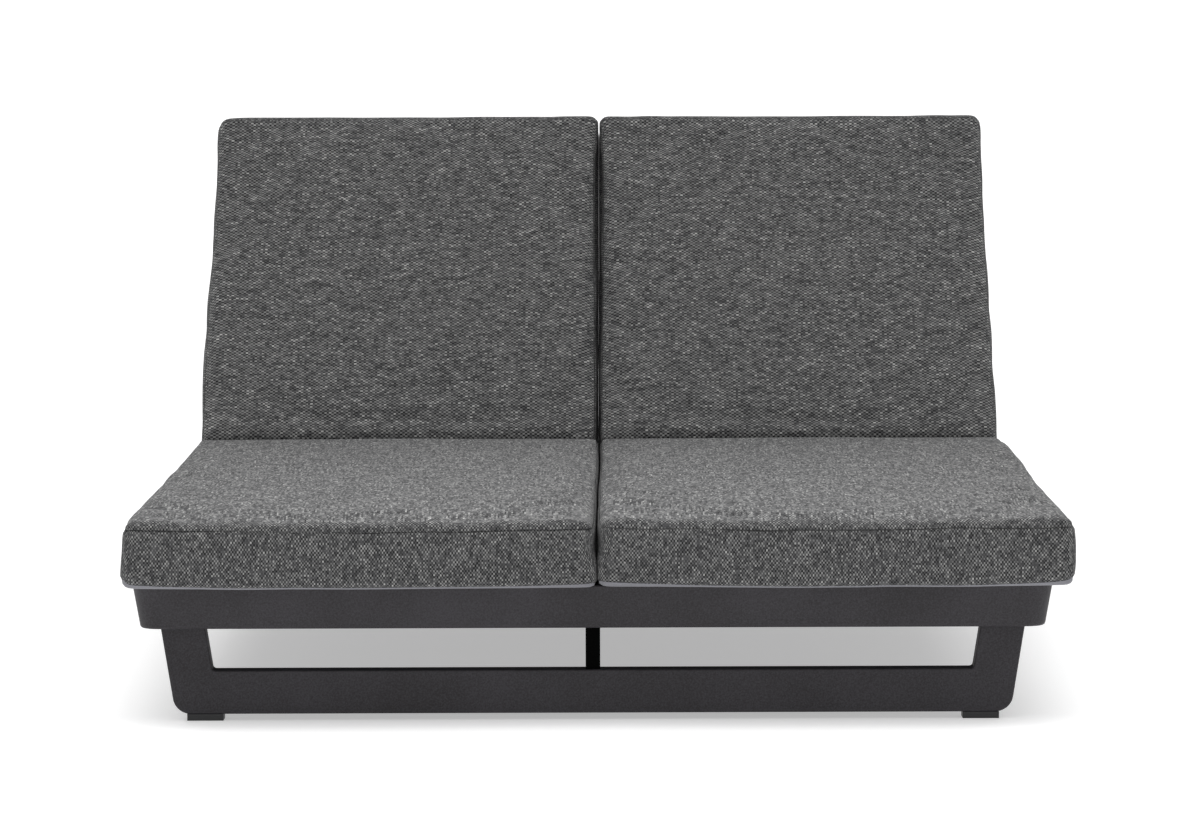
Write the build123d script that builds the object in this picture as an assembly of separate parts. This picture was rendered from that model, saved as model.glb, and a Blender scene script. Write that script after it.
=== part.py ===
from build123d import *
import os
from math import cos, radians, sin, sqrt, tan

# Double chaise lounger, in millimetres. X runs from left to right as seen from the foot end, Y from
# the foot end to the head end, and Z up from the floor. The origin is on the floor, under the middle
# of the box around the lounger as it stands with both backs raised.

# Overall layout
seat_pivot_length = 1327.0
back_cushion_length = 698.0
cushion_overhang = 25.0
pivot_setback = 20.0
back_angle = 52.0
notch_angles = (52.0, 42.0, 32.0, 21.0, 0.0)
cut_overrun = 5.0
running_clearance = 0.06
fixed_clearance = 0.15
soft_clearance = 0.3

# Rim: leaning tubes with rounded plan corners
rim_top_width = 1260.0
rim_height = 60.0
rim_depth = 30.0
rim_lean = 10.0
rim_corner_radius = 36.0
rim_edge_radius = 4.5
rim_top_radius = 2.0
tube_wall = 2.5

# Leg frames
leg_face = 60.0
leg_depth = 30.0
leg_lean = 9.0
leg_gap = 60.0
leg_outer_radius = 25.0
leg_inner_radius = 5.0
leg_edge_radius = 2.5
leg_top_clearance = 3.0
leg_side_clearance = 1.0
post_width = 20.0
post_wall = 1.5

# Glides under the low rails
glide_width = 50.0
glide_height = 9.0
glide_inset = 41.0
glide_edge = 1.5

# Deck
slat_thickness = 12.0
slat_wall = 1.5
slat_end_clearance = 2.0
seat_slat_width = 60.0
seat_slat_count = 14
ledge_width = 20.0
ledge_thickness = 3.0
centre_rail_width = 40.0
centre_rail_height = 48.0
crossbar_depth = 30.0

# Backs
stile_width = 20.0
stile_height = 30.0
stile_wall = 2.0
stile_lug = 22.0
stile_inset = (34.0, 23.0)
back_end_clearance = 13.0
back_rail_width = 20.0
back_rail_height = 20.0
back_rail_start = 25.0
back_slat_start = 22.0
back_slat_width = 50.0
back_slat_count = 8
back_side_clearance = (6.0, 8.0)

# Hinges
pivot_bolt_radius = 4.0
bush_radius = 6.0
bush_flange_radius = 9.0
bush_flange = 1.5
ear_thickness = 4.0
ear_radius = 14.0
bracket_plate = 4.0
side_play = 0.3

# Props
prop_end_clearance = 8.0
prop_bar_width = 24.0
prop_bar_thickness = 5.0
prop_bar_gap = 4.0
prop_rod_radius = 6.0
sleeve_radius = 8.0
sleeve_length = 20.0
rack_gap = 18.0
rack_thickness = 6.0
rack_lift = 0.3
notch_depth = 6.0
notch_play = 0.5

# Fasteners
bolt_head_across = 13.0
bolt_head_height = 5.3
nut_height = 6.5
leg_bolt_reach = 10.0
leg_bolt_spacing = 22.0
glide_screw_radius = 2.5
glide_screw_head_radius = 4.5
glide_screw_head_height = 3.0
glide_screw_length = 14.0

# Cushions
cushion_thickness = 80.0
cushion_side_overhang = 22.5
cushion_gap = 6.0
cushion_crown = 5.0
cushion_side_bulge = 4.0
cushion_draw_in = 4.0
cushion_end_radius = 12.0
cushion_end_inset = 6.0
cushion_station_count = 8
cushion_end_crown_share = 0.2
cover_thickness = 1.5
crease_gap = 1.0

# Heights
leg_bottom_z = glide_height
low_rail_top_z = leg_bottom_z + leg_face
rim_bottom_z = low_rail_top_z + leg_gap
deck_z = rim_bottom_z + rim_height
slat_bottom_z = deck_z - slat_thickness
leg_top_z = slat_bottom_z - leg_top_clearance
pivot_z = slat_bottom_z - stile_height / 2
centre_rail_bottom_z = slat_bottom_z - centre_rail_height
rack_land_z = pivot_z - sleeve_radius - rack_lift

# Places along the lounger
overall_length = seat_pivot_length + back_cushion_length - cushion_overhang
foot_end_y = -overall_length / 2
rim_front_y = foot_end_y + cushion_overhang
rim_rear_y = overall_length / 2
rim_front_inner_y = rim_front_y + rim_depth
rim_rear_inner_y = rim_rear_y - rim_depth
pivot_y = foot_end_y + seat_pivot_length
crossbar_rear_y = pivot_y - pivot_setback
crossbar_front_y = crossbar_rear_y - crossbar_depth
rim_middle_y = (rim_front_y + rim_rear_y) / 2
front_leg_y = (rim_front_inner_y, rim_front_inner_y + leg_depth)
rear_leg_y = (rim_rear_inner_y - leg_depth, rim_rear_inner_y)
back_frame_length = rear_leg_y[0] - pivot_y - back_end_clearance
prop_length = (back_frame_length - back_rail_width - prop_bar_width / 2 - prop_end_clearance) / 2

# Places across the lounger
rim_outer_x = rim_top_width / 2
rim_inner_x = rim_outer_x - rim_depth
rim_inset = rim_height * tan(radians(rim_lean))
leg_face_x = leg_face / cos(radians(leg_lean))
leg_span = 2 * (rim_inner_x - leg_side_clearance - (leg_top_z - rim_bottom_z) * tan(radians(leg_lean)))
cushion_outer_x = rim_outer_x + cushion_side_overhang
back_slat_x = (centre_rail_width / 2 + back_side_clearance[0], rim_inner_x - back_side_clearance[1])
inner_stile_x = back_slat_x[0] + stile_inset[0]
outer_stile_x = back_slat_x[1] - stile_inset[1]
stile_xs = ((inner_stile_x, inner_stile_x + stile_width), (outer_stile_x - stile_width, outer_stile_x))
inner_arm_x = stile_xs[0][1] + prop_bar_gap
outer_arm_x = stile_xs[1][0] - prop_bar_gap - prop_bar_thickness
arm_xs = ((inner_arm_x, inner_arm_x + prop_bar_thickness), (outer_arm_x, outer_arm_x + prop_bar_thickness))
inner_rack_x = arm_xs[0][1] + rack_gap
outer_rack_x = arm_xs[1][0] - rack_gap - rack_thickness
rack_xs = ((inner_rack_x, inner_rack_x + rack_thickness), (outer_rack_x, outer_rack_x + rack_thickness))
glide_x = leg_span / 2 - (rim_bottom_z - leg_bottom_z) * tan(radians(leg_lean)) - glide_inset

parts = {}


def block(xs, ys, zs):
    """A box between pairs of low and high places."""
    sizes = [high - low for low, high in (xs, ys, zs)]
    middles = [(low + high) / 2 for low, high in (xs, ys, zs)]
    return Pos(*middles) * Box(*sizes)


def grown(pair, amount):
    return (pair[0] - amount, pair[1] + amount)


def tube(xs, ys, zs, wall, along):
    """A box tube, open at both ends along the axis named."""
    spans = {"x": xs, "y": ys, "z": zs}
    inner = {name: grown(pair, cut_overrun if name == along else -wall) for name, pair in spans.items()}
    return block(xs, ys, zs) - block(inner["x"], inner["y"], inner["z"])


def prism_x(points, xs):
    """A solid with the outline given as (y, z) places, between two places along X."""
    outline = Polyline(*[(y, z) for y, z in points], close=True)
    face = make_face(Plane.YZ * outline)
    return Pos(xs[0], 0, 0) * extrude(face, amount=xs[1] - xs[0], dir=(1, 0, 0))


def rod_x(radius, xs, y, z):
    return Pos((xs[0] + xs[1]) / 2, y, z) * Rot(0, 90, 0) * Cylinder(radius, xs[1] - xs[0])


def hex_prism_x(across, xs, y, z):
    outline = RegularPolygon(across / 2, 6, major_radius=False)
    return Pos(xs[0], y, z) * Rot(0, 90, 0) * extrude(outline, amount=xs[1] - xs[0])


def mirrored(shape):
    return mirror(shape, about=Plane.YZ)


def add(name, *solids):
    parts[name] = list(solids)


def add_pair(stem, tail, *solids):
    """Adds a right-hand piece and its left-hand mirror image."""
    add(f"{stem}_right{tail}", *solids)
    add(f"{stem}_left{tail}", *[mirrored(solid) for solid in solids])


# Rim


def rim_outline(inset, z):
    """The rim's outer outline, drawn in by an amount, at a height."""
    width = rim_top_width - 2 * inset
    length = rim_rear_y - rim_front_y - 2 * inset
    return Pos(0, rim_middle_y, z) * RectangleRounded(width, length, rim_corner_radius - inset)


def make_rim_ring():
    lean_at_wall = tube_wall * tan(radians(rim_lean))
    outer = loft([rim_outline(rim_inset, rim_bottom_z), rim_outline(0, deck_z)], ruled=True)
    outer = fillet(outer.faces().sort_by(Axis.Z)[0].edges(), rim_edge_radius)
    outer = fillet(outer.faces().sort_by(Axis.Z)[-1].edges(), rim_top_radius)
    hollow_low = rim_outline(rim_inset - lean_at_wall + tube_wall, rim_bottom_z + tube_wall)
    hollow_high = rim_outline(lean_at_wall + tube_wall, deck_z - tube_wall)
    hollow = loft([hollow_low, hollow_high], ruled=True)
    inner_x = (-rim_inner_x, rim_inner_x)
    inner_y = (rim_front_inner_y, rim_rear_inner_y)
    heights = grown((rim_bottom_z, deck_z), cut_overrun)
    opening = block(inner_x, inner_y, heights)
    hollow -= block(grown(inner_x, tube_wall), grown(inner_y, tube_wall), heights)
    return outer - opening - hollow


def make_rim():
    ring = make_rim_ring()
    wide = grown((-rim_outer_x, rim_outer_x), cut_overrun)
    heights = grown((rim_bottom_z, deck_z), cut_overrun)
    front = ring & block(wide, (rim_front_y - cut_overrun, rim_front_inner_y), heights)
    rear = ring & block(wide, (rim_rear_inner_y, rim_rear_y + cut_overrun), heights)
    side = ring & block((0, wide[1]), (rim_front_inner_y, rim_rear_inner_y), heights)
    add("front_rail", front - leg_bolt_holes(front_leg_y, 1))
    add("rear_rail", rear - leg_bolt_holes(rear_leg_y, -1))
    add("side_rail_right", side)
    add("side_rail_left", mirrored(side))


# Leg frames


def leg_outer_x(z):
    return leg_span / 2 + (z - rim_bottom_z) * tan(radians(leg_lean))


def leg_outline(inset):
    """The outline of one U-shaped leg frame, drawn in from both sides by an amount, with open tops."""
    low = leg_bottom_z + inset
    top = leg_top_z + (cut_overrun if inset else 0)
    shift = inset / cos(radians(leg_lean))
    outer = [(leg_outer_x(top) - shift, top), (leg_outer_x(low) - shift, low)]
    high = low_rail_top_z - inset
    inner_shift = leg_face_x - shift
    above = leg_top_z + cut_overrun * 2
    inner = [(leg_outer_x(above) - inner_shift, above), (leg_outer_x(high) - inner_shift, high)]
    outer_face = make_face(Polyline(*outer, *[(-x, z) for x, z in reversed(outer)], close=True))
    inner_face = make_face(Polyline(*inner, *[(-x, z) for x, z in reversed(inner)], close=True))
    outer_face = fillet(outer_face.vertices().sort_by(Axis.Y)[:2], leg_outer_radius - inset)
    inner_face = fillet(inner_face.vertices().sort_by(Axis.Y)[:2], leg_inner_radius + inset)
    return outer_face - inner_face


def upright(face, ys):
    """Stands a face drawn as (x, z) upright, between two places along Y."""
    return Pos(0, ys[1], 0) * Rot(90, 0, 0) * extrude(face, amount=ys[1] - ys[0])


def leg_bolt_places():
    """The (x, z) places of the bolts through the right-hand leg."""
    middle_z = (rim_bottom_z + leg_top_z) / 2
    heights = (middle_z - leg_bolt_spacing / 2, middle_z + leg_bolt_spacing / 2)
    return [(leg_outer_x(z) - leg_face_x / 2, z) for z in heights]


def rod_y(radius, ys, x, z):
    return Pos(x, (ys[0] + ys[1]) / 2, z) * Rot(90, 0, 0) * Cylinder(radius, ys[1] - ys[0])


def leg_bolt_reach_y(leg_y, side):
    """How far a leg bolt's shank runs, from the leg's inner face into the rim. Side is 1 at the foot end."""
    reach = leg_bolt_reach + tube_wall
    return (leg_y[0] - reach, leg_y[1]) if side > 0 else (leg_y[0], leg_y[1] + reach)


def leg_bolt_holes(leg_y, side):
    radius = pivot_bolt_radius + fixed_clearance
    ys = grown(leg_bolt_reach_y(leg_y, side), cut_overrun)
    holes = [rod_y(radius, ys, sign * x, z) for x, z in leg_bolt_places() for sign in (-1, 1)]
    return Compound(children=holes)


def make_leg_frame(end, leg_y, side):
    frame = upright(leg_outline(0), leg_y)
    rims = [face.edges() for face in frame.faces().filter_by(Axis.Y)]
    frame = fillet([edge for edges in rims for edge in edges if edge.center().Z < leg_top_z], leg_edge_radius)
    frame -= upright(leg_outline(tube_wall), grown(leg_y, -tube_wall))
    frame -= leg_bolt_holes(leg_y, side)
    inner_corner = (leg_outer_x(low_rail_top_z) - leg_face_x, low_rail_top_z)
    outer_corner = (leg_outer_x(leg_bottom_z), leg_bottom_z)
    run = (outer_corner[0] - inner_corner[0], outer_corner[1] - inner_corner[1])
    share = (leg_top_z - leg_bottom_z) / leg_face
    above = (inner_corner[0] - run[0] * share, inner_corner[1] - run[1] * share)
    below = (outer_corner[0] + run[0] * share, outer_corner[1] + run[1] * share)
    side_face = make_face(Polyline(above, below, (below[0], above[1]), close=True))
    leg = frame & upright(side_face, leg_y)
    low_rail = frame - upright(side_face, leg_y) - mirrored(upright(side_face, leg_y))
    for sign in (-1, 1):
        hole_z = (leg_bottom_z - cut_overrun, leg_bottom_z + glide_screw_length)
        low_rail -= screw_rod(glide_screw_radius + fixed_clearance, sign * glide_x, leg_y, hole_z)
    add(f"leg_{end}_right", leg)
    add(f"leg_{end}_left", mirrored(leg))
    add(f"low_rail_{end}", low_rail)
    post_x = (-post_width / 2, post_width / 2)
    post_y = grown(leg_y, -(leg_depth - post_width) / 2)
    add(f"centre_post_{end}", tube(post_x, post_y, (low_rail_top_z, centre_rail_bottom_z), post_wall, "z"))


def screw_rod(radius, x, leg_y, zs):
    return Pos(x, sum(leg_y) / 2, sum(zs) / 2) * Cylinder(radius, zs[1] - zs[0])


def make_glides():
    glides, screws = [], []
    for leg_y in (front_leg_y, rear_leg_y):
        for sign in (-1, 1):
            x = sign * glide_x
            plate = block((x - glide_width / 2, x + glide_width / 2), leg_y, (0, glide_height))
            plate = fillet(plate.edges().filter_by(Axis.Z), glide_edge)
            recess = (-cut_overrun, glide_screw_head_height + glide_edge)
            plate -= screw_rod(glide_screw_head_radius + fixed_clearance, x, leg_y, recess)
            plate -= screw_rod(glide_screw_radius + fixed_clearance, x, leg_y, (0, glide_height + cut_overrun))
            head_z = (glide_edge, recess[1])
            screw = screw_rod(glide_screw_head_radius, x, leg_y, head_z)
            screw += screw_rod(glide_screw_radius, x, leg_y, (glide_edge, glide_edge + glide_screw_length))
            glides.append(plate)
            screws.append(screw)
    add("foot_glides", *glides)
    add("glide_screws", *screws)


def make_leg_bolts():
    bolts = []
    for leg_y, side in ((front_leg_y, 1), (rear_leg_y, -1)):
        shank = leg_bolt_reach_y(leg_y, side)
        head_y = shank[1] if side > 0 else shank[0]
        for x, z in leg_bolt_places():
            bolt = rod_y(pivot_bolt_radius, shank, x, z)
            head = RegularPolygon(bolt_head_across / 2, 6, major_radius=False)
            bolt += Pos(x, head_y, z) * Rot(-90 * side, 0, 0) * extrude(head, amount=bolt_head_height)
            bolts += [bolt, mirrored(bolt)]
    add("leg_bolts", *bolts)


# Deck


def make_deck():
    half = centre_rail_width / 2
    rail_z = (centre_rail_bottom_z, slat_bottom_z)
    add("centre_rail", tube((-half, half), (rim_front_inner_y, rim_rear_inner_y), rail_z, tube_wall, "y"))
    crossbar_y = (crossbar_front_y, crossbar_rear_y)
    add_pair("pivot_crossbar", "", tube((half, rim_inner_x), crossbar_y, rail_z, tube_wall, "x"))
    ledge_x = (rim_inner_x - ledge_width, rim_inner_x)
    ledge_y = (front_leg_y[1] + slat_end_clearance, crossbar_front_y)
    ledge_z = (slat_bottom_z - ledge_width, slat_bottom_z)
    ledge = block(ledge_x, ledge_y, ledge_z)
    inside_x = (ledge_x[0] - cut_overrun, ledge_x[1] - ledge_thickness)
    inside_z = (ledge_z[0] - cut_overrun, ledge_z[1] - ledge_thickness)
    ledge -= block(inside_x, grown(ledge_y, cut_overrun), inside_z)
    add_pair("seat_ledge", "", ledge)
    slats = []
    first = ledge_y[0]
    last = crossbar_rear_y - slat_end_clearance - seat_slat_width
    slat_x = (slat_end_clearance, rim_inner_x - slat_end_clearance)
    for number in range(seat_slat_count):
        low = first + (last - first) * number / (seat_slat_count - 1)
        slat_y = (low, low + seat_slat_width)
        slats.append(tube(slat_x, slat_y, (slat_bottom_z, deck_z), slat_wall, "x"))
    add_pair("seat_slats", "", *slats)


# Hinges between the deck and the backs


def make_hinges():
    brackets, bolts, nuts = [], [], []
    half_height = stile_height / 2
    low_y = (crossbar_rear_y, crossbar_rear_y + bracket_plate)
    for stile in stile_xs:
        inside = grown(stile, bush_flange + side_play)
        outside = grown(inside, ear_thickness)
        plate_z = (pivot_z - half_height, pivot_z + ear_radius)
        bracket = block(outside, low_y, plate_z)
        for ear in ((outside[0], inside[0]), (inside[1], outside[1])):
            ear_z = (pivot_z - ear_radius, pivot_z + ear_radius)
            bracket += block(ear, (crossbar_rear_y, pivot_y), ear_z)
            bracket += rod_x(ear_radius, ear, pivot_y, pivot_z)
        bracket -= rod_x(pivot_bolt_radius + running_clearance, grown(outside, cut_overrun), pivot_y, pivot_z)
        shank = (outside[0], outside[1] + nut_height)
        bolt = rod_x(pivot_bolt_radius, shank, pivot_y, pivot_z)
        bolt += hex_prism_x(bolt_head_across, (outside[0] - bolt_head_height, outside[0]), pivot_y, pivot_z)
        nut = hex_prism_x(bolt_head_across, (outside[1], shank[1]), pivot_y, pivot_z)
        nut -= rod_x(pivot_bolt_radius + running_clearance, grown(shank, cut_overrun), pivot_y, pivot_z)
        brackets += [bracket, mirrored(bracket)]
        bolts += [bolt, mirrored(bolt)]
        nuts += [nut, mirrored(nut)]
    add("hinge_brackets", *brackets)
    add("hinge_bolts", *bolts)
    add("hinge_nuts", *nuts)


def raised(shape):
    """Carries a piece drawn flat, with its pivot at the origin, to its place on a raised back."""
    return Pos(0, pivot_y, pivot_z) * Rot(back_angle, 0, 0) * shape


# Backs, drawn flat with the pivot at the origin


def make_stile(xs):
    half = stile_height / 2
    lengths = (0, back_frame_length)
    stile = block(xs, lengths, (-half, half)) + rod_x(half, xs, 0, 0)
    inner_z = (-half + stile_wall, half - stile_wall)
    stile -= block(grown(xs, -stile_wall), (stile_lug, back_frame_length + cut_overrun), inner_z)
    stile -= rod_x(bush_radius, grown(xs, cut_overrun), 0, 0)
    stile -= rod_x(pivot_bolt_radius + running_clearance, grown(xs, cut_overrun), prop_length, 0)
    return stile


def make_bush(xs):
    bush = rod_x(bush_radius, xs, 0, 0)
    bush += rod_x(bush_flange_radius, (xs[0] - bush_flange, xs[0]), 0, 0)
    bush += rod_x(bush_flange_radius, (xs[1], xs[1] + bush_flange), 0, 0)
    bore = grown(xs, bush_flange + cut_overrun)
    return bush - rod_x(pivot_bolt_radius + running_clearance, bore, 0, 0)


def make_prop_pin(stile, arm):
    """A bolt from the outer side of a stile through the prop's arm, with its head at the stile."""
    inward = 1 if arm[0] > stile[0] else -1
    if inward > 0:
        shank, head = (stile[0], arm[1]), (stile[0] - bolt_head_height, stile[0])
        cap = (arm[1] + side_play, arm[1] + side_play + bush_flange)
        spacer = (stile[1], arm[0] - side_play)
    else:
        shank, head = (arm[0], stile[1]), (stile[1], stile[1] + bolt_head_height)
        cap = (arm[0] - side_play - bush_flange, arm[0] - side_play)
        spacer = (arm[1] + side_play, stile[0])
    ends = (min(shank[0], cap[0]), max(shank[1], cap[1]))
    pin = rod_x(pivot_bolt_radius, ends, prop_length, 0)
    pin += hex_prism_x(bolt_head_across, head, prop_length, 0)
    pin += rod_x(bush_radius, spacer, prop_length, 0)
    return pin + rod_x(bush_radius, cap, prop_length, 0)


def make_back():
    half = stile_height / 2
    rail_z = (half - back_rail_height, half)
    between = (stile_xs[0][1], stile_xs[1][0])
    top_y = (back_frame_length - back_rail_width, back_frame_length)
    low_y = (back_rail_start, back_rail_start + back_rail_width)
    slats = []
    last = back_frame_length - back_slat_width
    for number in range(back_slat_count):
        low = back_slat_start + (last - back_slat_start) * number / (back_slat_count - 1)
        slat_y = (low, low + back_slat_width)
        slats.append(raised(tube(back_slat_x, slat_y, (half, half + slat_thickness), slat_wall, "x")))
    add_pair("back", "_inner_stile", raised(make_stile(stile_xs[0])))
    add_pair("back", "_outer_stile", raised(make_stile(stile_xs[1])))
    add_pair("back", "_top_rail", raised(tube(between, top_y, rail_z, stile_wall, "x")))
    add_pair("back", "_bottom_rail", raised(tube(between, low_y, rail_z, stile_wall, "x")))
    add_pair("back", "_slats", *slats)
    add_pair("back", "_hinge_bushes", *[raised(make_bush(stile)) for stile in stile_xs])
    pins = [raised(make_prop_pin(stile, arm)) for stile, arm in zip(stile_xs, arm_xs)]
    add_pair("back", "_prop_pins", *pins)


# Props and racks


def propped(shape):
    """Carries a prop piece drawn flat, with its pin at the origin, to its place under a raised back."""
    pin_y = pivot_y + prop_length * cos(radians(back_angle))
    pin_z = pivot_z + prop_length * sin(radians(back_angle))
    return Pos(0, pin_y, pin_z) * Rot(-back_angle, 0, 0) * shape


def make_arm(xs):
    half = prop_bar_width / 2
    arm = block(xs, (0, prop_length), (-half, half))
    arm += rod_x(half, xs, 0, 0) + rod_x(half, xs, prop_length, 0)
    return arm - rod_x(pivot_bolt_radius + running_clearance, grown(xs, cut_overrun), 0, 0)


def make_prop():
    sleeves = []
    for rack in rack_xs:
        middle = sum(rack) / 2
        span = (middle - sleeve_length / 2, middle + sleeve_length / 2)
        sleeve = rod_x(sleeve_radius, span, prop_length, 0)
        sleeve -= rod_x(prop_rod_radius + running_clearance, grown(span, cut_overrun), prop_length, 0)
        sleeves.append(propped(sleeve))
    rod = rod_x(prop_rod_radius, (arm_xs[0][1], arm_xs[1][0]), prop_length, 0)
    add_pair("prop", "_inner_arm", propped(make_arm(arm_xs[0])))
    add_pair("prop", "_outer_arm", propped(make_arm(arm_xs[1])))
    add_pair("prop", "_foot_rod", propped(rod))
    add_pair("prop", "_sleeves", *sleeves)


def make_racks():
    notch_radius = sleeve_radius + notch_play
    notch_z = rack_land_z - notch_depth + notch_radius
    for xs, name in zip(rack_xs, ("_inner", "_outer")):
        rack = block(xs, (crossbar_rear_y, rim_rear_inner_y), (centre_rail_bottom_z, rack_land_z))
        for angle in notch_angles:
            foot_y = pivot_y + 2 * prop_length * cos(radians(angle))
            rack -= rod_x(notch_radius, grown(xs, cut_overrun), foot_y, notch_z)
        add_pair("rack", name, rack)


# Cushions, drawn flat with the pivot at the origin and their length running away from it


def cushion_section(xs, zs, y, share):
    """One outline across a cushion: flat below, bowed sides and a crowned top. Share is 1 at mid-length."""
    draw = cushion_draw_in * share
    crown = cushion_crown * max(share, cushion_end_crown_share)
    left, right = xs[0] + draw, xs[1] - draw
    low, high = zs
    middle_z = (low + high) / 2
    bottom = Line((left, low), (right, low))
    side = ThreePointArc((right, low), (right + cushion_side_bulge, middle_z), (right, high))
    top = ThreePointArc((right, high), ((left + right) / 2, high + crown), (left, high))
    back = ThreePointArc((left, high), (left - cushion_side_bulge, middle_z), (left, low))
    face = make_face([bottom, side, top, back])
    return Pos(0, y, 0) * Rot(90, 0, 0) * face


def cushion_body(length, inset):
    xs = (cushion_gap / 2 + cushion_side_bulge + inset, cushion_outer_x - cushion_side_bulge - inset)
    base = stile_height / 2 + slat_thickness
    zs = (base + soft_clearance + inset, base + cushion_thickness - inset)
    end = length - inset
    stations = []
    for number in range(cushion_station_count + 1):
        part = number / cushion_station_count
        swell = 1 - (2 * part - 1) ** 2
        stations.append((xs, zs, (end - cushion_end_radius) * part, swell))
    tip_x, tip_z = grown(xs, -cushion_end_inset), grown(zs, -cushion_end_inset)
    bend = cushion_end_radius * (1 - sqrt(2) / 2)
    near_x, near_z = grown(xs, -cushion_end_inset / 4), grown(zs, -cushion_end_inset / 4)
    stations.append((near_x, near_z, end - bend, 0))
    stations.append((tip_x, tip_z, end, 0))
    faces = [cushion_section(x, z, y, swell) for x, z, y, swell in stations]
    body = loft(faces, ruled=True)
    lean = tan(radians(back_angle / 2))
    low, high = zs[0] - cut_overrun, zs[1] + cushion_crown + cut_overrun
    gap = (crease_gap + inset) / cos(radians(back_angle / 2))
    corner = [(low * lean + gap, low), (high * lean + gap, high)]
    far = length + cut_overrun
    cutter = prism_x([*corner, (far, high), (far, low)], grown((0, cushion_outer_x), cut_overrun))
    return body & cutter


def make_cushions():
    for stem, length, place in (("seat", seat_pivot_length, seated), ("back", back_cushion_length, raised)):
        cover = cushion_body(length, 0) - cushion_body(length, cover_thickness)
        core = cushion_body(length, cover_thickness + soft_clearance)
        add_pair(stem, "_cushion_cover", place(cover))
        add_pair(stem, "_foam_core", place(core))


def seated(shape):
    """Turns a cushion drawn along the back round, so that its length runs to the foot end."""
    return Pos(0, pivot_y, pivot_z) * mirror(shape, about=Plane.XZ)


def write_parts():
    os.makedirs("parts", exist_ok=True)
    for name, solids in parts.items():
        pieces = [solid for shape in solids for solid in shape.solids()]
        export_step(Compound(children=pieces), os.path.join("parts", name + ".step"))


make_rim()
make_leg_frame("front", front_leg_y, 1)
make_leg_frame("rear", rear_leg_y, -1)
make_glides()
make_leg_bolts()
make_deck()
make_hinges()
make_back()
make_prop()
make_racks()
make_cushions()
write_parts()
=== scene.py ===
import bpy
from math import cos, radians, sin, sqrt, tan
from mathutils import Matrix, Vector, noise


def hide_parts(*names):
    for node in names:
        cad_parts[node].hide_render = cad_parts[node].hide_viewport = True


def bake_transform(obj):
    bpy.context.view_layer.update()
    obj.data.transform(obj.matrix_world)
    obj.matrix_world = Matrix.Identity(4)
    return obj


# Double chaise lounger, in metres. X runs from left to right as seen from the foot end, Y from the foot
# end to the head end, and Z up from the floor.

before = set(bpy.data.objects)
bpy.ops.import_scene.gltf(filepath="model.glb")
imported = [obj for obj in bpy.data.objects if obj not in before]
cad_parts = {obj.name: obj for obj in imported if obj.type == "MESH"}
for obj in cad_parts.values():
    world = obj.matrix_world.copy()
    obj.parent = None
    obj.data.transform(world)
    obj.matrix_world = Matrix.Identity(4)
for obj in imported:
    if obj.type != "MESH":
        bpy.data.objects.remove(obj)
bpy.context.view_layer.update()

# Hinge line of the backs, and how steeply they stand at rest
PIVOT_Y = 0.327
PIVOT_Z = 0.162
BACK_ANGLE = radians(52)

# Cushions, measured flat with the hinge line at the origin. Inner is next to the other side's cushion, and
# both sides stand a little to the right of the frame's middle.
SEAT_LENGTH = 1.327
BACK_LENGTH = 0.709
CUSHION_BASE = 0.0275
CUSHION_TOP = 0.1070
CUSHION_INNER = 0.0036
CUSHION_OUTER = 0.6490
CUSHION_SHIFT = 0.0065

# The cloth's panels before they are shaped, and the slots of their materials
BORDER_CLOTH, UNDER_CLOTH, TOP_CLOTH = 0, 1, 2
CLOTH_CELL = 0.010
BORDER_ROWS = 8
EDGE_CELLS = 0.030

# How the top rolls down to its seam, at the crease and at the free end, and the underside up to its own
TOP_ROLL = (0.0035, 0.0105)
TOP_ROLL_WIDTH = 0.016
UNDER_LIFT = 0.0044
UNDER_WIDTH = 0.017
SEAM_WAVE = 0.0016
LOW_SEAM_WAVE = 0.0022
LOW_SEAM_REST = 0.0020

# How the corners are rounded and the faces stand out
FREE_CORNER = 0.018
CREASE_CORNER = 0.009
CORNER_DROP_REACH = (0.055, 0.2)
CROWN = 0.003
SAG_REACH = 0.035
SIDE_ROLL = 0.01
SIDE_BULGE = 0.0032
LOWER_FLARE = 0.0028
TOP_EDGE_BOW = 0.004

# The crease, and the gap between both sides: the share of the height over which it opens, how far the
# wander of its course reaches into a cushion, and what each side keeps to the middle
CREASE_HALF = 0.0005
CREASE_START = 0.010
GAP_DEPTH = (0.30, 0.62)
WANDER_REACH = 0.12
INNER_REST = 0.00005

# The filling: how many frames it is simulated, what lies on the deck and how far the cloth may move
FILLING_FRAMES = 12
RESTING = 0.0003
SIDEWAYS_SHARE = 0.4
CAP = 0.005

# How deep the seams are sunk, how near a point has to be to a seam for it, and over what distance from a
# seam the cloth is painted darker, as painted shade in the seam's groove
SEAM_SINK = 0.0014
SEAM_SHARE = 0.6
PAINTED_SEAM_SHADE_REACH = (0.0006, 0.0020)

# The cover cloth: how far apart its floats lie along the weft and across it, how many floats a slub ties
# together, which layer of noise draws the slubs, and the tones between black and white
FLOAT_LENGTH = 0.00294
FLOAT_WIDTH = 0.00225
SLUB_FLOATS = 3.0
SLUB_LAYER = 3.7
TONES = ((0.25, "#2a2a2b"), (0.50, "#555556"), (0.75, "#8f8f8e"))

# The floor reaches so far behind the piece that its edge lies at the horizon
FLOOR_SIZE = 1600
FLOOR_MIDDLE = 700

# The camera, fitted to the photograph's outlines: its place, and how many degrees it looks down and rolls
CAMERA_PLACE = (0.0108, -7.228, 0.998)
CAMERA_DOWN = 5.269
CAMERA_ROLL = -0.19


# Finishes


def colour(code):
    """The linear colour of an sRGB hex code."""
    parts = [int(code[i:i + 2], 16) / 255 for i in (1, 3, 5)]
    return (*[p / 12.92 if p <= 0.04045 else ((p + 0.055) / 1.055) ** 2.4 for p in parts], 1.0)


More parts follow.
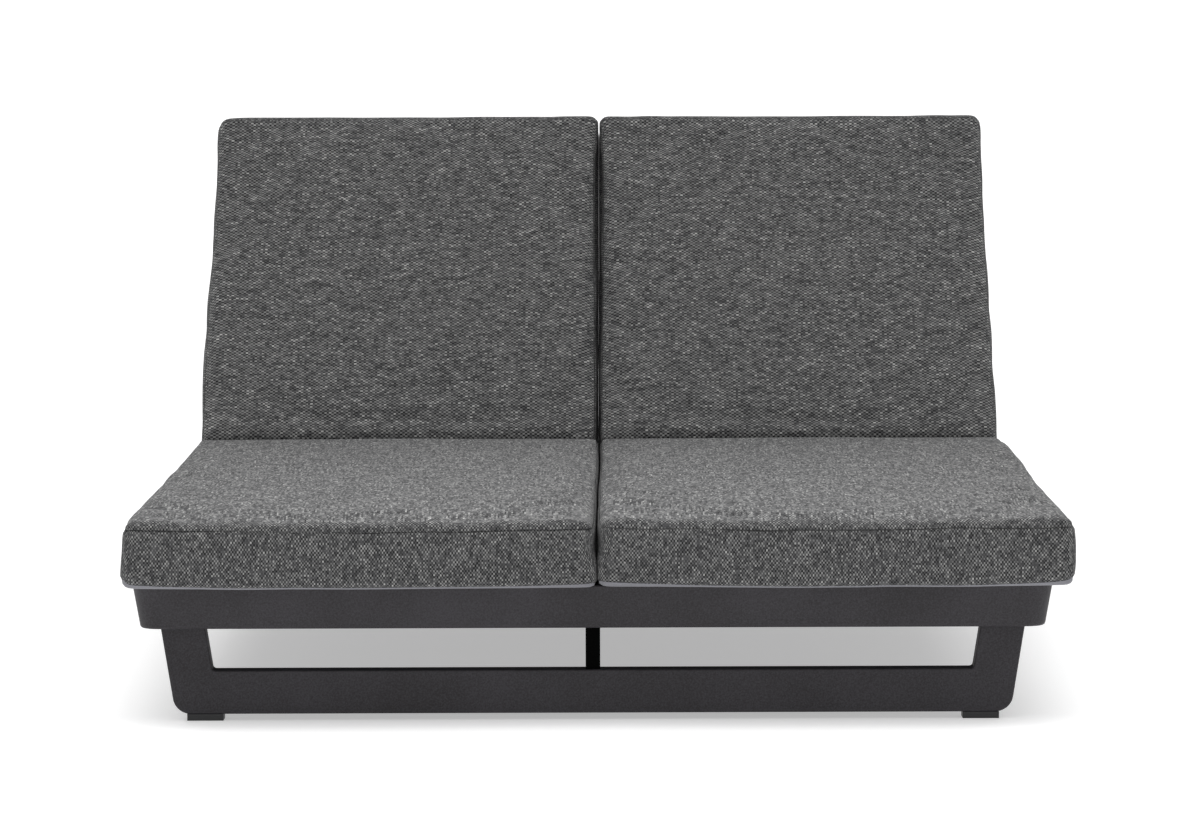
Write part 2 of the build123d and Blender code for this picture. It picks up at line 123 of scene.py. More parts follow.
def add_node(tree, kind, inputs=(), **settings):
    """Adds a node with its settings. Inputs are pairs of a socket and what it is linked or set to."""
    node = tree.nodes.new(kind)
    for name, value in settings.items():
        setattr(node, name, value)
    for socket, value in inputs:
        if isinstance(value, bpy.types.NodeSocket):
            tree.links.new(value, node.inputs[socket])
        else:
            node.inputs[socket].default_value = value
    return node


def new_finish(name, **values):
    """A material with one surface shader, whose plain values are set on the shader itself."""
    material = bpy.data.materials.new(name)
    material.use_nodes = True
    shader = material.node_tree.nodes["Principled BSDF"]
    for socket, value in values.items():
        shader.inputs[socket.replace("_", " ")].default_value = value
    return material, material.node_tree, shader


def powder_coated_aluminium(name, deep, light, grain=0.0006, specular=0.26):
    """Aluminium tube under a fine-textured powder coat: a matt, faintly orange-peeled skin that
    scatters light and hardly mirrors."""
    material, tree, shader = new_finish(name, Roughness=0.58, Specular_IOR_Level=specular)
    place = add_node(tree, "ShaderNodeTexCoord").outputs["Object"]
    speckle = add_node(tree, "ShaderNodeTexNoise", [("Vector", place), ("Scale", 1 / grain / 4),
                                                    ("Detail", 3.0), ("Roughness", 0.7)])
    cloud = add_node(tree, "ShaderNodeTexNoise", [("Vector", place), ("Scale", 9.0), ("Detail", 2.0)])
    mix = add_node(tree, "ShaderNodeMath",
                   [(0, cloud.outputs["Fac"]), (1, 0.35), (2, speckle.outputs["Fac"])],
                   operation="MULTIPLY_ADD")
    ramp = add_node(tree, "ShaderNodeValToRGB", [("Fac", mix.outputs["Value"])])
    ramp.color_ramp.elements[0].position = 0.50
    ramp.color_ramp.elements[0].color = colour(deep)
    ramp.color_ramp.elements[1].position = 0.85
    ramp.color_ramp.elements[1].color = colour(light)
    tree.links.new(ramp.outputs["Color"], shader.inputs["Base Color"])
    rough = add_node(tree, "ShaderNodeMapRange", [("Value", speckle.outputs["Fac"]), ("To Min", 0.5),
                                                  ("To Max", 0.68)])
    tree.links.new(rough.outputs["Result"], shader.inputs["Roughness"])
    peel = add_node(tree, "ShaderNodeBump", [("Strength", 0.35), ("Distance", 0.0002),
                                             ("Height", speckle.outputs["Fac"])])
    tree.links.new(peel.outputs["Normal"], shader.inputs["Normal"])
    return material


def moulded_nylon(name, code):
    """Black moulded nylon: even, with a slight satin gloss and a fine spark-eroded grain."""
    material, tree, shader = new_finish(name, Base_Color=colour(code), Roughness=0.42, IOR=1.53)
    place = add_node(tree, "ShaderNodeTexCoord").outputs["Object"]
    grain = add_node(tree, "ShaderNodeTexNoise", [("Vector", place), ("Scale", 900.0), ("Detail", 2.0)])
    rough = add_node(tree, "ShaderNodeMapRange", [("Value", grain.outputs["Fac"]), ("To Min", 0.36),
                                                  ("To Max", 0.5)])
    tree.links.new(rough.outputs["Result"], shader.inputs["Roughness"])
    bump = add_node(tree, "ShaderNodeBump", [("Strength", 0.2), ("Distance", 0.0001),
                                             ("Height", grain.outputs["Fac"])])
    tree.links.new(bump.outputs["Normal"], shader.inputs["Normal"])
    return material


def zinc_plated_steel(name):
    """Bright zinc on steel fasteners: pale metal with cloudy, slightly blue patches."""
    material, tree, shader = new_finish(name, Metallic=1.0, Roughness=0.32)
    place = add_node(tree, "ShaderNodeTexCoord").outputs["Object"]
    cloud = add_node(tree, "ShaderNodeTexNoise", [("Vector", place), ("Scale", 260.0), ("Detail", 3.0)])
    ramp = add_node(tree, "ShaderNodeValToRGB", [("Fac", cloud.outputs["Fac"])])
    ramp.color_ramp.elements[0].color = colour("#9ba0a6")
    ramp.color_ramp.elements[1].color = colour("#c9cbcd")
    tree.links.new(ramp.outputs["Color"], shader.inputs["Base Color"])
    rough = add_node(tree, "ShaderNodeMapRange", [("Value", cloud.outputs["Fac"]), ("To Min", 0.24),
                                                  ("To Max", 0.42)])
    tree.links.new(rough.outputs["Result"], shader.inputs["Roughness"])
    return material


def woven_melange_cloth(name, centre, spread, lattice, slub_share, clouds, relief, coarse=1.0,
                        slub_floats=SLUB_FLOATS):
    """Outdoor olefin cloth in a plain weave of mixed dark and pale grey yarns. Every float has a tone of
    its own about the centre, the weft's floats stand out pale by the lattice's share, the yarns' slubs tie
    a few floats of a row together, and clouds are slow changes of the tone. Coarse is how much larger than
    life the floats are drawn, and relief how far their mounds show, both in the bump and in painted shade
    that darkens each float towards its edges."""
    material, tree, shader = new_finish(name, Roughness=0.9, Specular_IOR_Level=0.12, Sheen_Weight=0.06,
                                        Sheen_Roughness=0.5, Sheen_Tint=colour("#d8d8d8"))
    cut = add_node(tree, "ShaderNodeUVMap", uv_map="cut").outputs["UV"]
    wander = add_node(tree, "ShaderNodeTexNoise", [("Vector", cut), ("Scale", 60.0), ("Detail", 1.0)])
    drift = add_node(tree, "ShaderNodeVectorMath", [(0, wander.outputs["Color"]), (1, (0.5, 0.5, 0.5))],
                     operation="SUBTRACT")
    bent = add_node(tree, "ShaderNodeVectorMath",
                    [(0, drift.outputs["Vector"]), (1, (FLOAT_WIDTH,) * 3), (2, cut)],
                    operation="MULTIPLY_ADD")
    floats_per_metre = (1 / FLOAT_LENGTH / coarse, 1 / FLOAT_WIDTH / coarse, 0)
    yarns = add_node(tree, "ShaderNodeVectorMath", [(0, bent.outputs["Vector"]), (1, floats_per_metre)],
                     operation="MULTIPLY")
    across = add_node(tree, "ShaderNodeSeparateXYZ", [("Vector", yarns.outputs["Vector"])])
    u, v = across.outputs["X"], across.outputs["Y"]
    column = add_node(tree, "ShaderNodeMath", [(0, u)], operation="FLOOR").outputs["Value"]
    row = add_node(tree, "ShaderNodeMath", [(0, v)], operation="FLOOR").outputs["Value"]
    spot = add_node(tree, "ShaderNodeCombineXYZ", [("X", column), ("Y", row)])
    fleck = add_node(tree, "ShaderNodeTexWhiteNoise", [("Vector", spot.outputs["Vector"])])
    fleck = fleck.outputs["Value"]
    phase = add_node(tree, "ShaderNodeTexWhiteNoise", [("W", row)], noise_dimensions="1D").outputs["Value"]
    run = add_node(tree, "ShaderNodeMath", [(0, u), (1, 1 / slub_floats), (2, phase)],
                   operation="MULTIPLY_ADD").outputs["Value"]
    run = add_node(tree, "ShaderNodeMath", [(0, run)], operation="FLOOR").outputs["Value"]
    spot = add_node(tree, "ShaderNodeCombineXYZ", [("X", run), ("Y", row), ("Z", SLUB_LAYER)])
    slub = add_node(tree, "ShaderNodeTexWhiteNoise", [("Vector", spot.outputs["Vector"])]).outputs["Value"]
    tone = add_node(tree, "ShaderNodeMix", [("Factor", slub_share), (2, fleck), (3, slub)]).outputs[0]
    least = centre - (spread + clouds + lattice) / 2
    tone = add_node(tree, "ShaderNodeMath", [(0, tone), (1, spread), (2, least)],
                    operation="MULTIPLY_ADD").outputs["Value"]
    patch = add_node(tree, "ShaderNodeTexNoise", [("Vector", cut), ("Scale", 30.0), ("Detail", 3.0)])
    tone = add_node(tree, "ShaderNodeMath", [(0, patch.outputs["Fac"]), (1, clouds), (2, tone)],
                    operation="MULTIPLY_ADD").outputs["Value"]
    turns = add_node(tree, "ShaderNodeMath", [(0, column), (1, row)], operation="ADD").outputs["Value"]
    odd = add_node(tree, "ShaderNodeMath", [(0, turns), (1, 2.0)],
                   operation="FLOORED_MODULO").outputs["Value"]
    tone = add_node(tree, "ShaderNodeMath", [(0, odd), (1, lattice), (2, tone)],
                    operation="MULTIPLY_ADD").outputs["Value"]
    ramp = add_node(tree, "ShaderNodeValToRGB", [("Fac", tone)])
    stops = ramp.color_ramp
    stops.elements[0].position = 0.0
    stops.elements[0].color = colour("#0c0c0d")
    stops.elements[1].position = 1.0
    stops.elements[1].color = colour("#f6f6f3")
    for at, code in TONES:
        stops.elements.new(at).color = colour(code)
    # Painted shade: each float is drawn darker towards its edges and a little lighter at its crown, as if lit
    # across its mound. Relief sets how much.
    du = add_node(tree, "ShaderNodeMath", [(0, u), (1, 0.5)], operation="PINGPONG").outputs["Value"]
    dv = add_node(tree, "ShaderNodeMath", [(0, v), (1, 0.5)], operation="PINGPONG").outputs["Value"]
    rim = add_node(tree, "ShaderNodeMath", [(0, du), (1, dv)], operation="MINIMUM").outputs["Value"]
    mound = add_node(tree, "ShaderNodeMapRange", [("Value", rim), ("From Max", 0.2)]).outputs["Result"]
    shade = add_node(tree, "ShaderNodeMapRange", [("Value", mound), ("To Min", 1 - 0.4 * relief),
                                                  ("To Max", 1 + 0.1 * relief)]).outputs["Result"]
    # Painted shade along the seams: within a couple of millimetres of a seam the cloth is drawn darker, by a
    # depth that wanders with noise, in place of the shade in the seam's groove.
    seam = add_node(tree, "ShaderNodeAttribute", attribute_name="seam").outputs["Fac"]
    seam_shade_depth = add_node(tree, "ShaderNodeTexNoise", [("Vector", cut), ("Scale", 4.0), ("Detail", 1.0)])
    seam_shade_depth = add_node(tree, "ShaderNodeMapRange",
                    [("Value", seam_shade_depth.outputs["Fac"]), ("From Min", 0.4), ("From Max", 0.6),
                     ("To Min", 0.2), ("To Max", 0.75)]).outputs["Result"]
    painted_seam_shade = add_node(tree, "ShaderNodeMapRange",
                      [("Value", seam), ("From Min", PAINTED_SEAM_SHADE_REACH[0]), ("From Max", PAINTED_SEAM_SHADE_REACH[1]),
                       ("To Min", seam_shade_depth), ("To Max", 1.0)]).outputs["Result"]
    shade = add_node(tree, "ShaderNodeMath", [(0, shade), (1, painted_seam_shade)], operation="MULTIPLY").outputs["Value"]
    cloth = add_node(tree, "ShaderNodeVectorMath", [(0, ramp.outputs["Color"]), ("Scale", shade)],
                     operation="SCALE")
    tree.links.new(cloth.outputs["Vector"], shader.inputs["Base Color"])
    bump = add_node(tree, "ShaderNodeBump", [("Strength", 0.5 * relief), ("Distance", 0.0005),
                                             ("Height", mound)])
    tree.links.new(bump.outputs["Normal"], shader.inputs["Normal"])
    return material


def smooth_underside_cloth(name):
    """Plain pale grey polyester under a cushion: thin, close and smooth, with a soft sheen."""
    material, tree, shader = new_finish(name, Roughness=0.7, Specular_IOR_Level=0.3, Sheen_Weight=0.2,
                                        Sheen_Roughness=0.4)
    cut = add_node(tree, "ShaderNodeUVMap", uv_map="cut").outputs["UV"]
    weave = add_node(tree, "ShaderNodeTexNoise", [("Vector", cut), ("Scale", 700.0), ("Detail", 2.0)])
    ramp = add_node(tree, "ShaderNodeValToRGB", [("Fac", weave.outputs["Fac"])])
    ramp.color_ramp.elements[0].position = 0.3
    ramp.color_ramp.elements[0].color = colour("#737378")
    ramp.color_ramp.elements[1].position = 0.7
    ramp.color_ramp.elements[1].color = colour("#85858b")
    tree.links.new(ramp.outputs["Color"], shader.inputs["Base Color"])
    bump = add_node(tree, "ShaderNodeBump", [("Strength", 0.2), ("Distance", 0.0002),
                                             ("Height", weave.outputs["Fac"])])
    tree.links.new(bump.outputs["Normal"], shader.inputs["Normal"])
    return material


def studio_floor(name):
    """White acrylic photo table, lit softly from below, so that what stands on it casts a pale shadow."""
    material, tree, shader = new_finish(name, Roughness=0.95, Specular_IOR_Level=0.1, Emission_Strength=0.41,
                                        Emission_Color=colour("#ffffff"))
    place = add_node(tree, "ShaderNodeTexCoord").outputs["Object"]
    grain = add_node(tree, "ShaderNodeTexNoise", [("Vector", place), ("Scale", 40.0), ("Detail", 2.0)])
    ramp = add_node(tree, "ShaderNodeValToRGB", [("Fac", grain.outputs["Fac"])])
    ramp.color_ramp.elements[0].color = colour("#e0e0e0")
    ramp.color_ramp.elements[1].color = colour("#e3e3e3")
    tree.links.new(ramp.outputs["Color"], shader.inputs["Base Color"])
    return material


charcoal = powder_coated_aluminium("charcoal_powder_coated_aluminium", "#292729", "#3d3b3f")
# Painted shade: the centre posts stand in the deep shadow under the deck. Their coat is drawn nearly black
# and hardly reflecting, darker than the charcoal frame, in place of that shadow.
black = powder_coated_aluminium("near_black_aluminium_painted_shade", "#020202", "#050505", specular=0.02)
painted = powder_coated_aluminium("black_painted_steel", "#1a1a1b", "#262627", 0.0004)
nylon = moulded_nylon("black_moulded_nylon", "#1d1d1f")
zinc = zinc_plated_steel("zinc_plated_steel")
# Painted light: one cloth is drawn in three copies of different mean tone. The seat's top is lightest and the
# border darkest, in place of the light from above that falls on the top.
border_weave = woven_melange_cloth("woven_melange_cloth_border_painted_darker", 0.455, 0.41, 0.29, 0.3, clouds=0.08,
                                   relief=0.6)
seat_weave = woven_melange_cloth("woven_melange_cloth_seat_painted_lighter", 0.505, 0.56, 0.15, 0.48, clouds=0.1,
                                 relief=0.15, slub_floats=4.5)
# The backs stand steeply, and in a picture of the whole piece their floats would be finer than its pixels
back_weave = woven_melange_cloth("woven_melange_cloth_back", 0.478, 0.40, 0.34, 0.45, clouds=0.04,
                                 relief=0.1, coarse=1.33)
lining = smooth_underside_cloth("smooth_underside_cloth")

BACK_PIECES = ("inner_stile", "outer_stile", "top_rail", "bottom_rail", "slats")
PROP_PIECES = ("inner_arm", "outer_arm", "foot_rod")
finishes = (
    (charcoal, ["front_rail", "rear_rail", "side_rail_left", "side_rail_right", "centre_rail",
                "pivot_crossbar_left", "pivot_crossbar_right", "seat_ledge_left", "seat_ledge_right",
                "seat_slats_left", "seat_slats_right", "leg_front_left", "leg_front_right",
                "leg_rear_left", "leg_rear_right", "low_rail_front", "low_rail_rear"]
     + [f"back_{side}_{piece}" for side in ("left", "right") for piece in BACK_PIECES]),
    (black, ["centre_post_front", "centre_post_rear"]),
    (painted, ["hinge_brackets", "rack_left_inner", "rack_left_outer", "rack_right_inner", "rack_right_outer"]
     + [f"prop_{side}_{piece}" for side in ("left", "right") for piece in PROP_PIECES]),
    (nylon, ["foot_glides", "back_left_hinge_bushes", "prop_left_sleeves", "back_right_hinge_bushes",
             "prop_right_sleeves"]),
    (zinc, ["glide_screws", "leg_bolts", "hinge_bolts", "hinge_nuts", "back_left_prop_pins",
            "back_right_prop_pins"]),
)
for material, names in finishes:
    for name in names:
        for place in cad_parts[name].material_slots:
            place.material = material


# Cushions


def only(obj):
    """Makes an object the only selected one."""
    bpy.ops.object.select_all(action="DESELECT")
    obj.select_set(True)
    bpy.context.view_layer.objects.active = obj


def crease_end(up):
    """Where a cushion ends towards the crease, at a height: half of the angle goes to each cushion."""
    return up * tan(BACK_ANGLE / 2) + CREASE_HALF / cos(BACK_ANGLE / 2)


def make_panels(name, length):
    """A closed box of cloth panels: a grid for the underside, drawn up into the border and the top."""
    width = CUSHION_OUTER - CUSHION_INNER
    height = CUSHION_TOP - CUSHION_BASE
    bpy.ops.object.select_all(action="DESELECT")
    bpy.ops.mesh.primitive_grid_add(x_subdivisions=round(width / CLOTH_CELL),
                                    y_subdivisions=round(length / CLOTH_CELL), size=1, location=(0, 0, 0))
    obj = bpy.context.object
    obj.name = name
    obj.scale = (width, length, 1)
    obj.location = ((CUSHION_INNER + CUSHION_OUTER) / 2, length / 2, CUSHION_BASE)
    bpy.ops.object.transform_apply(location=True, rotation=True, scale=True)
    bpy.ops.object.mode_set(mode="EDIT")
    bpy.ops.mesh.select_all(action="SELECT")
    bpy.ops.mesh.extrude_region_move(TRANSFORM_OT_translate={"value": (0, 0, height)})
    bpy.ops.mesh.select_all(action="DESELECT")
    bpy.ops.mesh.select_mode(type="EDGE")
    bpy.ops.object.mode_set(mode="OBJECT")
    mesh = obj.data
    for edge in mesh.edges:
        low, high = (mesh.vertices[corner].co.z for corner in edge.vertices)
        edge.select = abs(high - low) > height / 2
    bpy.ops.object.mode_set(mode="EDIT")
    bpy.ops.mesh.subdivide(number_cuts=BORDER_ROWS - 1)
    bpy.ops.mesh.select_all(action="SELECT")
    bpy.ops.mesh.normals_make_consistent(inside=False)
    bpy.ops.object.mode_set(mode="OBJECT")
    return obj


def cut_cloth(mesh, kind, length, seed):
    """Lays each panel's cut in the UV map, in metres, and gives the underside its own cloth. The weft runs
    along a seat's top and upright in its border, and across a back."""
    cut = mesh.uv_layers.new(name="cut")
    for face in mesh.polygons:
        normal = face.normal
        # Painted shade: the top's roll over the free end takes the border's cloth, which is drawn darker than
        # the seat's top.
        rolls_over = face.center.y > length - TOP_ROLL_WIDTH
        if normal.z < -0.5:
            face.material_index = UNDER_CLOTH
        else:
            face.material_index = TOP_CLOTH if normal.z > 0.5 and not rolls_over else BORDER_CLOTH
        for loop in face.loop_indices:
            x, y, z = mesh.vertices[mesh.loops[loop].vertex_index].co
            if abs(normal.z) > 0.5:
                cut.data[loop].uv = (y + seed, x) if kind == "seat" else (x + seed, y)
            elif abs(normal.y) > 0.5:
                cut.data[loop].uv = (z + seed, x + 3)
            else:
                cut.data[loop].uv = (z + seed, y + 7)


def mark_seams_of(mesh, length):
    """Marks the two seams round the border, before the mesh is shaped."""
    loop = mesh.attributes.new("seam_loop", "FLOAT", "POINT")
    for index, vertex in enumerate(mesh.vertices):
        x, y, z = vertex.co
        outside = min(x - CUSHION_INNER, CUSHION_OUTER - x, length - y) < CLOTH_CELL / 4
        at_seam = z > CUSHION_TOP - 1e-5 or z < CUSHION_BASE + 1e-5
        loop.data[index].value = 1.0 if outside and at_seam else 0.0


def rounded(a, b, radius):
    """Bends the corner of a square grid into a round one. A and B are the distances from the two edges."""
    if a >= radius or b >= radius:
        return a, b
    u, v = 1 - a / radius, 1 - b / radius
    return radius * (1 - u * sqrt(1 - v * v / 2)), radius * (1 - v * sqrt(1 - u * u / 2))


def wave(*at):
    """A steady uneven wave between -1 and 1."""
    return noise.noise(Vector(at)) * 1.6


def quarter(share):
    """The rise of a rounded edge across its width."""
    share = min(max(share, 0.0), 1.0)
    return sqrt(1 - (1 - share) ** 2)


def between(table, place):
    """Reads a table of (place, value) rows, smoothly between its rows."""
    for (low, first), (high, second) in zip(table, table[1:]):
        if place <= high:
            share = min(max((place - low) / (high - low), 0.0), 1.0)
            return first + (second - first) * share * share * (3 - 2 * share)
    return table[-1][1]


def smooth(share):
    """A rise from 0 to 1 that starts and ends level."""
    share = min(max(share, 0.0), 1.0)
    return share * share * (3 - 2 * share)


def closer(gap):
    """Draws the rows of cells next to an edge closer together, where the cloth rolls over."""
    return gap * (0.5 + 0.5 * gap / EDGE_CELLS) if gap < EDGE_CELLS else gap


def shape_cushion(mesh, length, seed, shape):
    """Rounds the corners, rolls the top and the underside over to their seams, opens the gap to the other
    side at the top, and leans the crease end."""
    lift_height, lift_width = shape["outer_lift"]
    drop_width, drop_length = CORNER_DROP_REACH
    for vertex in mesh.vertices:
        x, y, z = vertex.co
        inner, outer, free = closer(x - CUSHION_INNER), closer(CUSHION_OUTER - x), closer(length - y)
        crease = y
        x = CUSHION_INNER + inner if x < (CUSHION_INNER + CUSHION_OUTER) / 2 else CUSHION_OUTER - outer
        y = length - free
        edge = min(inner, outer, free, crease + CREASE_START)
        level = (z - CUSHION_BASE) / (CUSHION_TOP - CUSHION_BASE)
        swell = (1 - (2 * x / (CUSHION_OUTER + CUSHION_INNER) - 1) ** 2) * (1 - (2 * y / length - 1) ** 2)
        top = CUSHION_TOP + shape["rise"] * smooth(y / length) + CROWN * sqrt(max(swell, 0))
        top_seam = (CUSHION_TOP + shape["rise"] * smooth(y / length) + SEAM_WAVE * wave(x * 11, y * 9, seed)
                    - TOP_ROLL[0] - (TOP_ROLL[1] - TOP_ROLL[0]) * smooth(y / length))
        near_side = 1 - quarter(outer / lift_width)
        lift = UNDER_LIFT + (lift_height - UNDER_LIFT) * near_side
        lift += max(LOW_SEAM_WAVE * wave(x * 9, y * 8, seed + 7), LOW_SEAM_REST - UNDER_LIFT)
        base = CUSHION_BASE - shape["front_sag"] * smooth(1 - free / SAG_REACH)
        low_seam = base + lift
        if level > 0.999:
            z = top_seam + (top - top_seam) * quarter(edge / TOP_ROLL_WIDTH)
        elif level < 0.001:
            z = base + (low_seam - base) * (1 - quarter(edge / UNDER_WIDTH))
        else:
            z = low_seam + (top_seam - low_seam) * level
        for first, second, radius in ((inner, free, shape["inner_corner"]), (outer, free, FREE_CORNER),
                                      (inner, crease, CREASE_CORNER), (outer, crease, CREASE_CORNER)):
            a, b = rounded(first, second, radius)
            if first is inner:
                x += a - first
            else:
                x -= a - first
            if second is free:
                y -= b - second
            else:
                y += b - second
        if shape["corner_drop"]:
            y -= shape["corner_drop"] * (1 - quarter(outer / drop_width)) * max(0.0, 1 - free / drop_length)
        bulge = 4 * level * (1 - level) * SIDE_BULGE
        x += (bulge + LOWER_FLARE * (1 - min(level * 2, 1))) * quarter(1 - outer / SIDE_ROLL)
        meeting = smooth((GAP_DEPTH[1] - level) / (GAP_DEPTH[1] - GAP_DEPTH[0]))
        meeting = max(meeting, between(shape["gap_closed"], y))
        x = max(x - 1.5 * CUSHION_INNER * meeting * quarter(1 - inner / SIDE_ROLL), INNER_REST)
        y += bulge * quarter(1 - free / SIDE_ROLL)
        x += (between(shape["side_swell"], y) * (x / CUSHION_OUTER) ** 4
              * (0.35 + 0.65 * min(level * 1.6, 1.0)))
        y += TOP_EDGE_BOW * (1 - (2 * x / CUSHION_OUTER - 1) ** 4) * (y / length) ** 3
        end = crease_end(z)
        y = end + y * (length - end) / length
        vertex.co = (x, y, z)


def inflate(obj, length):
    """Fills the cover: a short cloth simulation with pressure, gathered along its seams."""
    mesh = obj.data
    start = [vertex.co.copy() for vertex in mesh.vertices]
    held = obj.vertex_groups.new(name="held")
    gathered = obj.vertex_groups.new(name="gathered")
    for index, place in enumerate(start):
        resting = place.z < CUSHION_BASE + RESTING
        at_crease = place.y < crease_end(place.z) + CLOTH_CELL * 0.4
        if resting or at_crease:
            held.add([index], 1.0, "REPLACE")
    seam_edge = mesh.attributes["seam_loop"].data
    for index in range(len(start)):
        if seam_edge[index].value > 0.5:
            gathered.add([index], 1.0, "REPLACE")
    only(obj)
    cloth = obj.modifiers.new("filling", "CLOTH")
    settings = cloth.settings
    settings.quality = 5
    settings.mass = 0.4
    settings.tension_stiffness = 30
    settings.compression_stiffness = 12
    settings.shear_stiffness = 8
    settings.bending_stiffness = 1.2
    settings.use_pressure = True
    settings.uniform_pressure_force = 0.4
    settings.effector_weights.gravity = 0
    settings.vertex_group_mass = "held"
    settings.vertex_group_shrink = "gathered"
    settings.shrink_min = 0.0
    settings.shrink_max = 0.03
    cloth.collision_settings.use_self_collision = False
    cloth.point_cache.frame_start = 1
    cloth.point_cache.frame_end = FILLING_FRAMES
    scene = bpy.context.scene
    for number in range(1, FILLING_FRAMES + 1):
        scene.frame_set(number)
    bpy.ops.object.modifier_apply(modifier=cloth.name)
    scene.frame_set(1)
    for index, vertex in enumerate(obj.data.vertices):
        move = vertex.co - start[index]
        move.x *= SIDEWAYS_SHARE
        if start[index].x < CUSHION_INNER:
            move.x = min(move.x, 0.0)
        if move.length > CAP:
            move *= CAP / move.length
        vertex.co = start[index] + move
        vertex.co.x = max(vertex.co.x, INNER_REST)
    obj.vertex_groups.clear()


def finish_cushion(obj):
    """Smooths the cover by one subdivision and sinks its seams."""
    only(obj)
    finer = obj.modifiers.new("finer", "SUBSURF")
    finer.levels = finer.render_levels = 1
    bpy.ops.object.modifier_apply(modifier=finer.name)
    mesh = obj.data
    seam = mesh.attributes.new("seam", "FLOAT", "POINT")
    loop = mesh.attributes["seam_loop"]
    normals = [vertex.normal.copy() for vertex in mesh.vertices]
    for index, vertex in enumerate(mesh.vertices):
        near = min(max(loop.data[index].value, 0.0), 1.0)
        seam.data[index].value = (1 - near) * CLOTH_CELL
        if near > SEAM_SHARE:
            vertex.co -= normals[index] * SEAM_SINK * (near - SEAM_SHARE) / (1 - SEAM_SHARE)
    bpy.ops.object.shade_smooth()


def place_cushion(mesh, kind, side):
    """Sets a flat cushion on the seat or on its raised back. The gap between both sides wanders a little."""
    for vertex in mesh.vertices:
        x, along, up = vertex.co
        wander = between(seat_gap if kind == "seat" else back_gap, along) * max(0.0, 1 - x / WANDER_REACH)
        x = x * side + CUSHION_SHIFT + wander
        if kind == "seat":
            vertex.co = (x, PIVOT_Y - along, PIVOT_Z + up)
        else:
            vertex.co = (x, PIVOT_Y + along * cos(BACK_ANGLE) - up * sin(BACK_ANGLE),
                         PIVOT_Z + along * sin(BACK_ANGLE) + up * cos(BACK_ANGLE))


def make_cushion(kind, side_name, side, length, seed, **shape):
    """Sews, shapes, fills and places one cushion. Side is -1 for the left and 1 for the right."""
    name = f"{kind}_{side_name}_cushion"
    obj = make_panels(name, length)
    mesh = obj.data
    for material in (border_weave, lining, seat_weave if kind == "seat" else back_weave):
        mesh.materials.append(material)
    cut_cloth(mesh, kind, length, seed)
    mark_seams_of(mesh, length)
    shape_cushion(mesh, length, seed, shape)
    inflate(obj, length)
    finish_cushion(obj)
    place_cushion(obj.data, kind, side)
    if (kind == "seat") == (side > 0):
        obj.data.flip_normals()
    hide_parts(f"{kind}_{side_name}_cushion_cover", f"{kind}_{side_name}_foam_core")
    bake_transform(obj)


# By the distance from the hinge line: how far the gap between both sides wanders to the right, and how
# nearly it is closed at the top, where two thirds is quite closed
seat_gap = ((0.05, 0.0030), (0.34, 0.0035), (0.55, 0.0020), (0.73, 0.0002), (0.91, 0.0003), (1.08, -0.0008),
            (1.24, -0.0012), (1.327, -0.0006))
back_gap = ((0.05, 0.0010), (0.14, 0.0020), (0.22, 0.0018), (0.335, 0.0026), (0.44, 0.0034), (0.59, 0.0035),
            (0.70, 0.0041))
seat_closed = ((0.05, 0.35), (1.20, 0.40), (1.327, 0.0))
back_closed = ((0.05, 0.0), (0.63, 0.0), (0.709, 0.62))

# How far each cushion's outer side stands out or in, by the distance from the hinge line
seat_left_swell = ((0.05, -0.001), (0.30, 0.001), (0.60, 0.003), (0.70, 0.001), (0.95, 0.003), (1.20, 0.003),
                   (1.327, -0.003))
seat_right_swell = ((0.05, 0.007), (0.14, 0.014), (0.38, 0.014), (0.55, 0.009), (0.75, 0.004), (1.15, 0.004),
                    (1.327, 0.001))
back_left_swell = ((0.05, -0.003), (0.22, -0.0005), (0.32, -0.001), (0.44, -0.005), (0.706, -0.004))
back_right_swell = ((0.05, 0.003), (0.40, 0.004), (0.706, 0.0055))
make_cushion("seat", "left", -1, SEAT_LENGTH, 1.3, rise=0.0110, corner_drop=0, front_sag=0.0026,
             outer_lift=(0.012, 0.019), side_swell=seat_left_swell, gap_closed=seat_closed,
             inner_corner=FREE_CORNER)
make_cushion("seat", "right", 1, SEAT_LENGTH, 5.9, rise=0.0125, corner_drop=0, front_sag=0.0015,
             outer_lift=(0.010, 0.046), side_swell=seat_right_swell, gap_closed=seat_closed,
             inner_corner=FREE_CORNER)
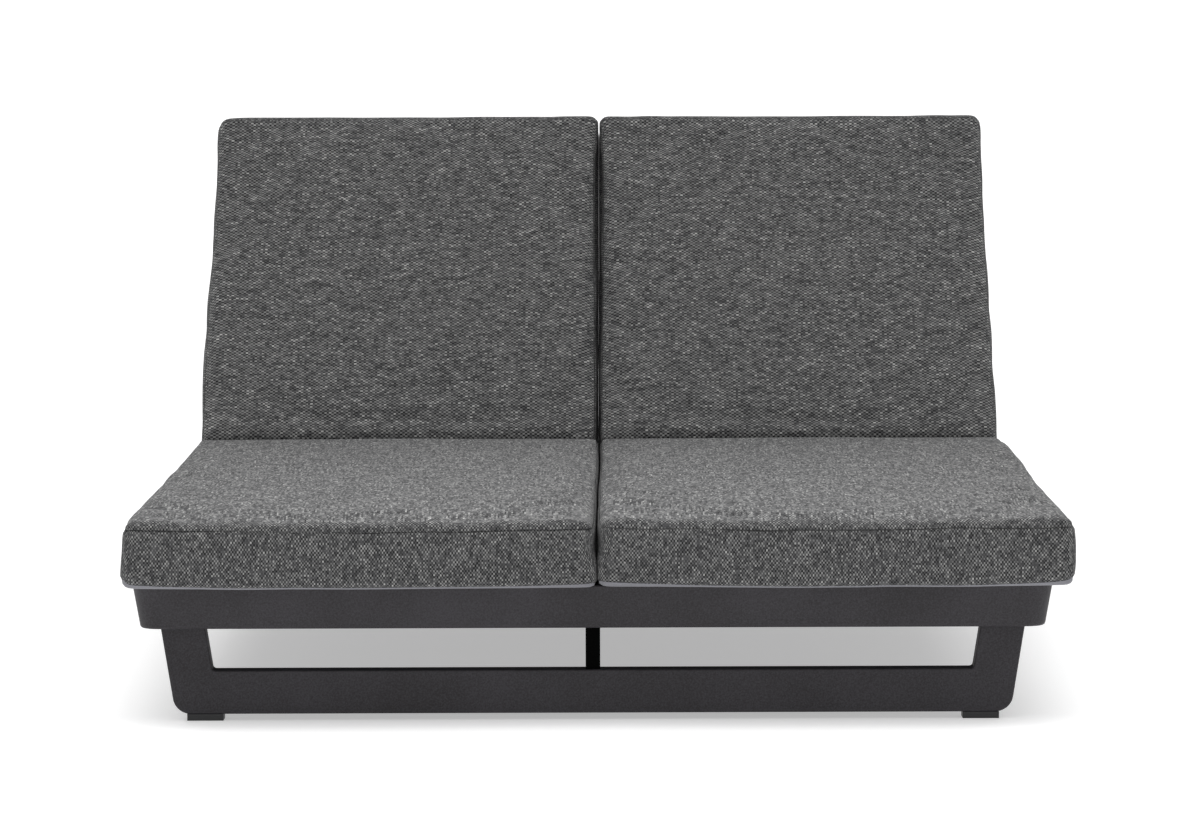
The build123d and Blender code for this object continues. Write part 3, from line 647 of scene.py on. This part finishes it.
make_cushion("back", "left", -1, BACK_LENGTH, 11.1, rise=0.0040, corner_drop=0.007, front_sag=0,
             outer_lift=(0.012, 0.050), side_swell=back_left_swell, gap_closed=back_closed,
             inner_corner=0.013)
make_cushion("back", "right", 1, BACK_LENGTH, 17.6, rise=0.0040, corner_drop=0, front_sag=0,
             outer_lift=(0.012, 0.050), side_swell=back_right_swell, gap_closed=back_closed,
             inner_corner=0.013)


# Studio

scene = bpy.context.scene
bpy.ops.object.select_all(action="DESELECT")
bpy.ops.mesh.primitive_plane_add(size=FLOOR_SIZE, location=(0, FLOOR_MIDDLE, -0.0003))
floor = bpy.context.object
floor.name = "studio_floor"
bpy.ops.object.transform_apply(location=True, rotation=True, scale=True)
floor.data.materials.append(studio_floor("backlit_white_acrylic"))

world = bpy.data.worlds.new("studio")
world.use_nodes = True
world.node_tree.nodes["Background"].inputs["Color"].default_value = (1, 1, 1, 1)
world.node_tree.nodes["Background"].inputs["Strength"].default_value = 0.42
scene.world = world
scene.view_settings.view_transform = "Standard"

sun = bpy.data.lights.new("overhead_softbox", "SUN")
sun.energy = 2.4
sun.angle = radians(75)
sun_object = bpy.data.objects.new("overhead_softbox", sun)
sun_object.rotation_euler = (radians(-30), 0, 0)
scene.collection.objects.link(sun_object)

lamp = bpy.data.lights.new("front_softbox", "AREA")
lamp.shape = "RECTANGLE"
lamp.size, lamp.size_y = 2.6, 0.8
lamp.energy = 14
lamp_object = bpy.data.objects.new("front_softbox", lamp)
lamp_object.location = (0, -1.2, 1.6)
scene.collection.objects.link(lamp_object)

camera = bpy.data.cameras.new("camera")
camera.sensor_width = 36
camera.lens = 138.85
camera.clip_end = 2000
camera_object = bpy.data.objects.new("camera", camera)
turn = Matrix.Rotation(radians(90 - CAMERA_DOWN), 4, "X") @ Matrix.Rotation(radians(CAMERA_ROLL), 4, "Z")
camera_object.matrix_world = Matrix.Translation(CAMERA_PLACE) @ turn
scene.collection.objects.link(camera_object)
scene.camera = camera_object
